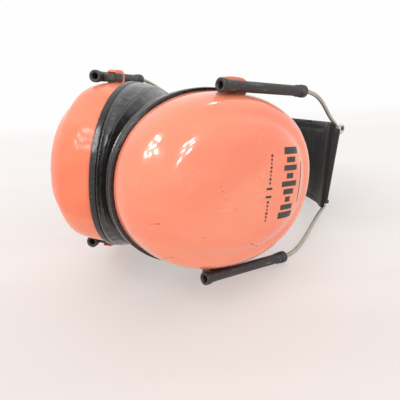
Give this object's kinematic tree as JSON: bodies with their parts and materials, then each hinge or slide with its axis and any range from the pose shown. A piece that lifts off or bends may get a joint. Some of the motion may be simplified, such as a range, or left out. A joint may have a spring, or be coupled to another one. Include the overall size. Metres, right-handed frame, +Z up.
{
  "type": "earmuff hearing protector",
  "caption": "Headband earmuff: oval padded cups tilt on sliding tubes carried by bent wire yokes on a padded spring band.",
  "frame": {"origin": "middle of the bottom of the object's box, as it lies on its rear side on a table", "axes": "+X towards the wearer's left cup, +Y along the table from the cups to the crown of the headband, +Z up from the table, which is the front of the earmuff as worn"},
  "size_m": [0.1224, 0.177, 0.1003],
  "materials": {
    "coral_shell": "gloss",
    "black_moulding": "satin",
    "band_rubber": "satin",
    "band_lining": "satin",
    "cushion_vinyl": "satin",
    "foam": "matte",
    "spring_steel": "satin"
  },
  "bodies": {
    "headband": {"headband_cover": "band_rubber", "headband_spring_leaf": "spring_steel", "headband_pad": "band_lining"},
    "left_band_end": {"left_band_end_sleeve": "black_moulding"},
    "left_yoke": {"left_wire_yoke": "spring_steel"},
    "left_tubes": {"left_front_slider_tube": "black_moulding", "left_rear_slider_tube": "black_moulding"},
    "left_cup": {"left_front_pivot_pin": "spring_steel", "left_rear_pivot_pin": "spring_steel", "left_cup_shell": "coral_shell", "left_cushion_plate": "black_moulding", "left_cushion_cover": "cushion_vinyl", "left_cushion_foam": "foam", "left_sound_absorber": "foam"},
    "right_band_end": {"right_band_end_sleeve": "black_moulding"},
    "right_yoke": {"right_wire_yoke": "spring_steel"},
    "right_tubes": {"right_front_slider_tube": "black_moulding", "right_rear_slider_tube": "black_moulding"},
    "right_cup": {"right_front_pivot_pin": "spring_steel", "right_rear_pivot_pin": "spring_steel", "right_cup_shell": "coral_shell", "right_cushion_plate": "black_moulding", "right_cushion_cover": "cushion_vinyl", "right_cushion_foam": "foam", "right_sound_absorber": "foam"}
  },
  "joints": [
    {"name": "left_band_flex", "type": "slide", "parent": "headband", "child": "left_band_end", "axis": [1, 0, 0], "range_m": [0, 0.0085]},
    {"name": "left_band_spread", "type": "hinge", "parent": "left_band_end", "child": "left_yoke", "pos_m": [0.0524, 0.05216, 0.03091], "axis": [0, 0.2319, 0.9727], "range_deg": [0, 30]},
    {"name": "left_height_slide", "type": "slide", "parent": "left_yoke", "child": "left_tubes", "axis": [-0.289, -0.9312, 0.222], "range_m": [0, 0.028]},
    {"name": "left_cup_tilt", "type": "hinge", "parent": "left_tubes", "child": "left_cup", "pos_m": [0.03338, -0.04163, 0.05327], "axis": [0, 0.2319, 0.9727], "range_deg": [0, 12]},
    {"name": "right_band_flex", "type": "slide", "parent": "headband", "child": "right_band_end", "axis": [-1, 0, 0], "range_m": [0, 0.0085]},
    {"name": "right_band_spread", "type": "hinge", "parent": "right_band_end", "child": "right_yoke", "pos_m": [-0.0524, 0.05216, 0.03091], "axis": [0, -0.2319, -0.9727], "range_deg": [0, 30]},
    {"name": "right_height_slide", "type": "slide", "parent": "right_yoke", "child": "right_tubes", "axis": [0.289, -0.9312, 0.222], "range_m": [0, 0.028]},
    {"name": "right_cup_tilt", "type": "hinge", "parent": "right_tubes", "child": "right_cup", "pos_m": [-0.03338, -0.04163, 0.05327], "axis": [0, -0.2319, -0.9727], "range_deg": [0, 12]}
  ],
  "couplings": [
    {"joint": "left_band_flex", "follows": "left_height_slide", "ratio": 0.3},
    {"joint": "right_band_flex", "follows": "right_height_slide", "ratio": 0.3}
  ]
}
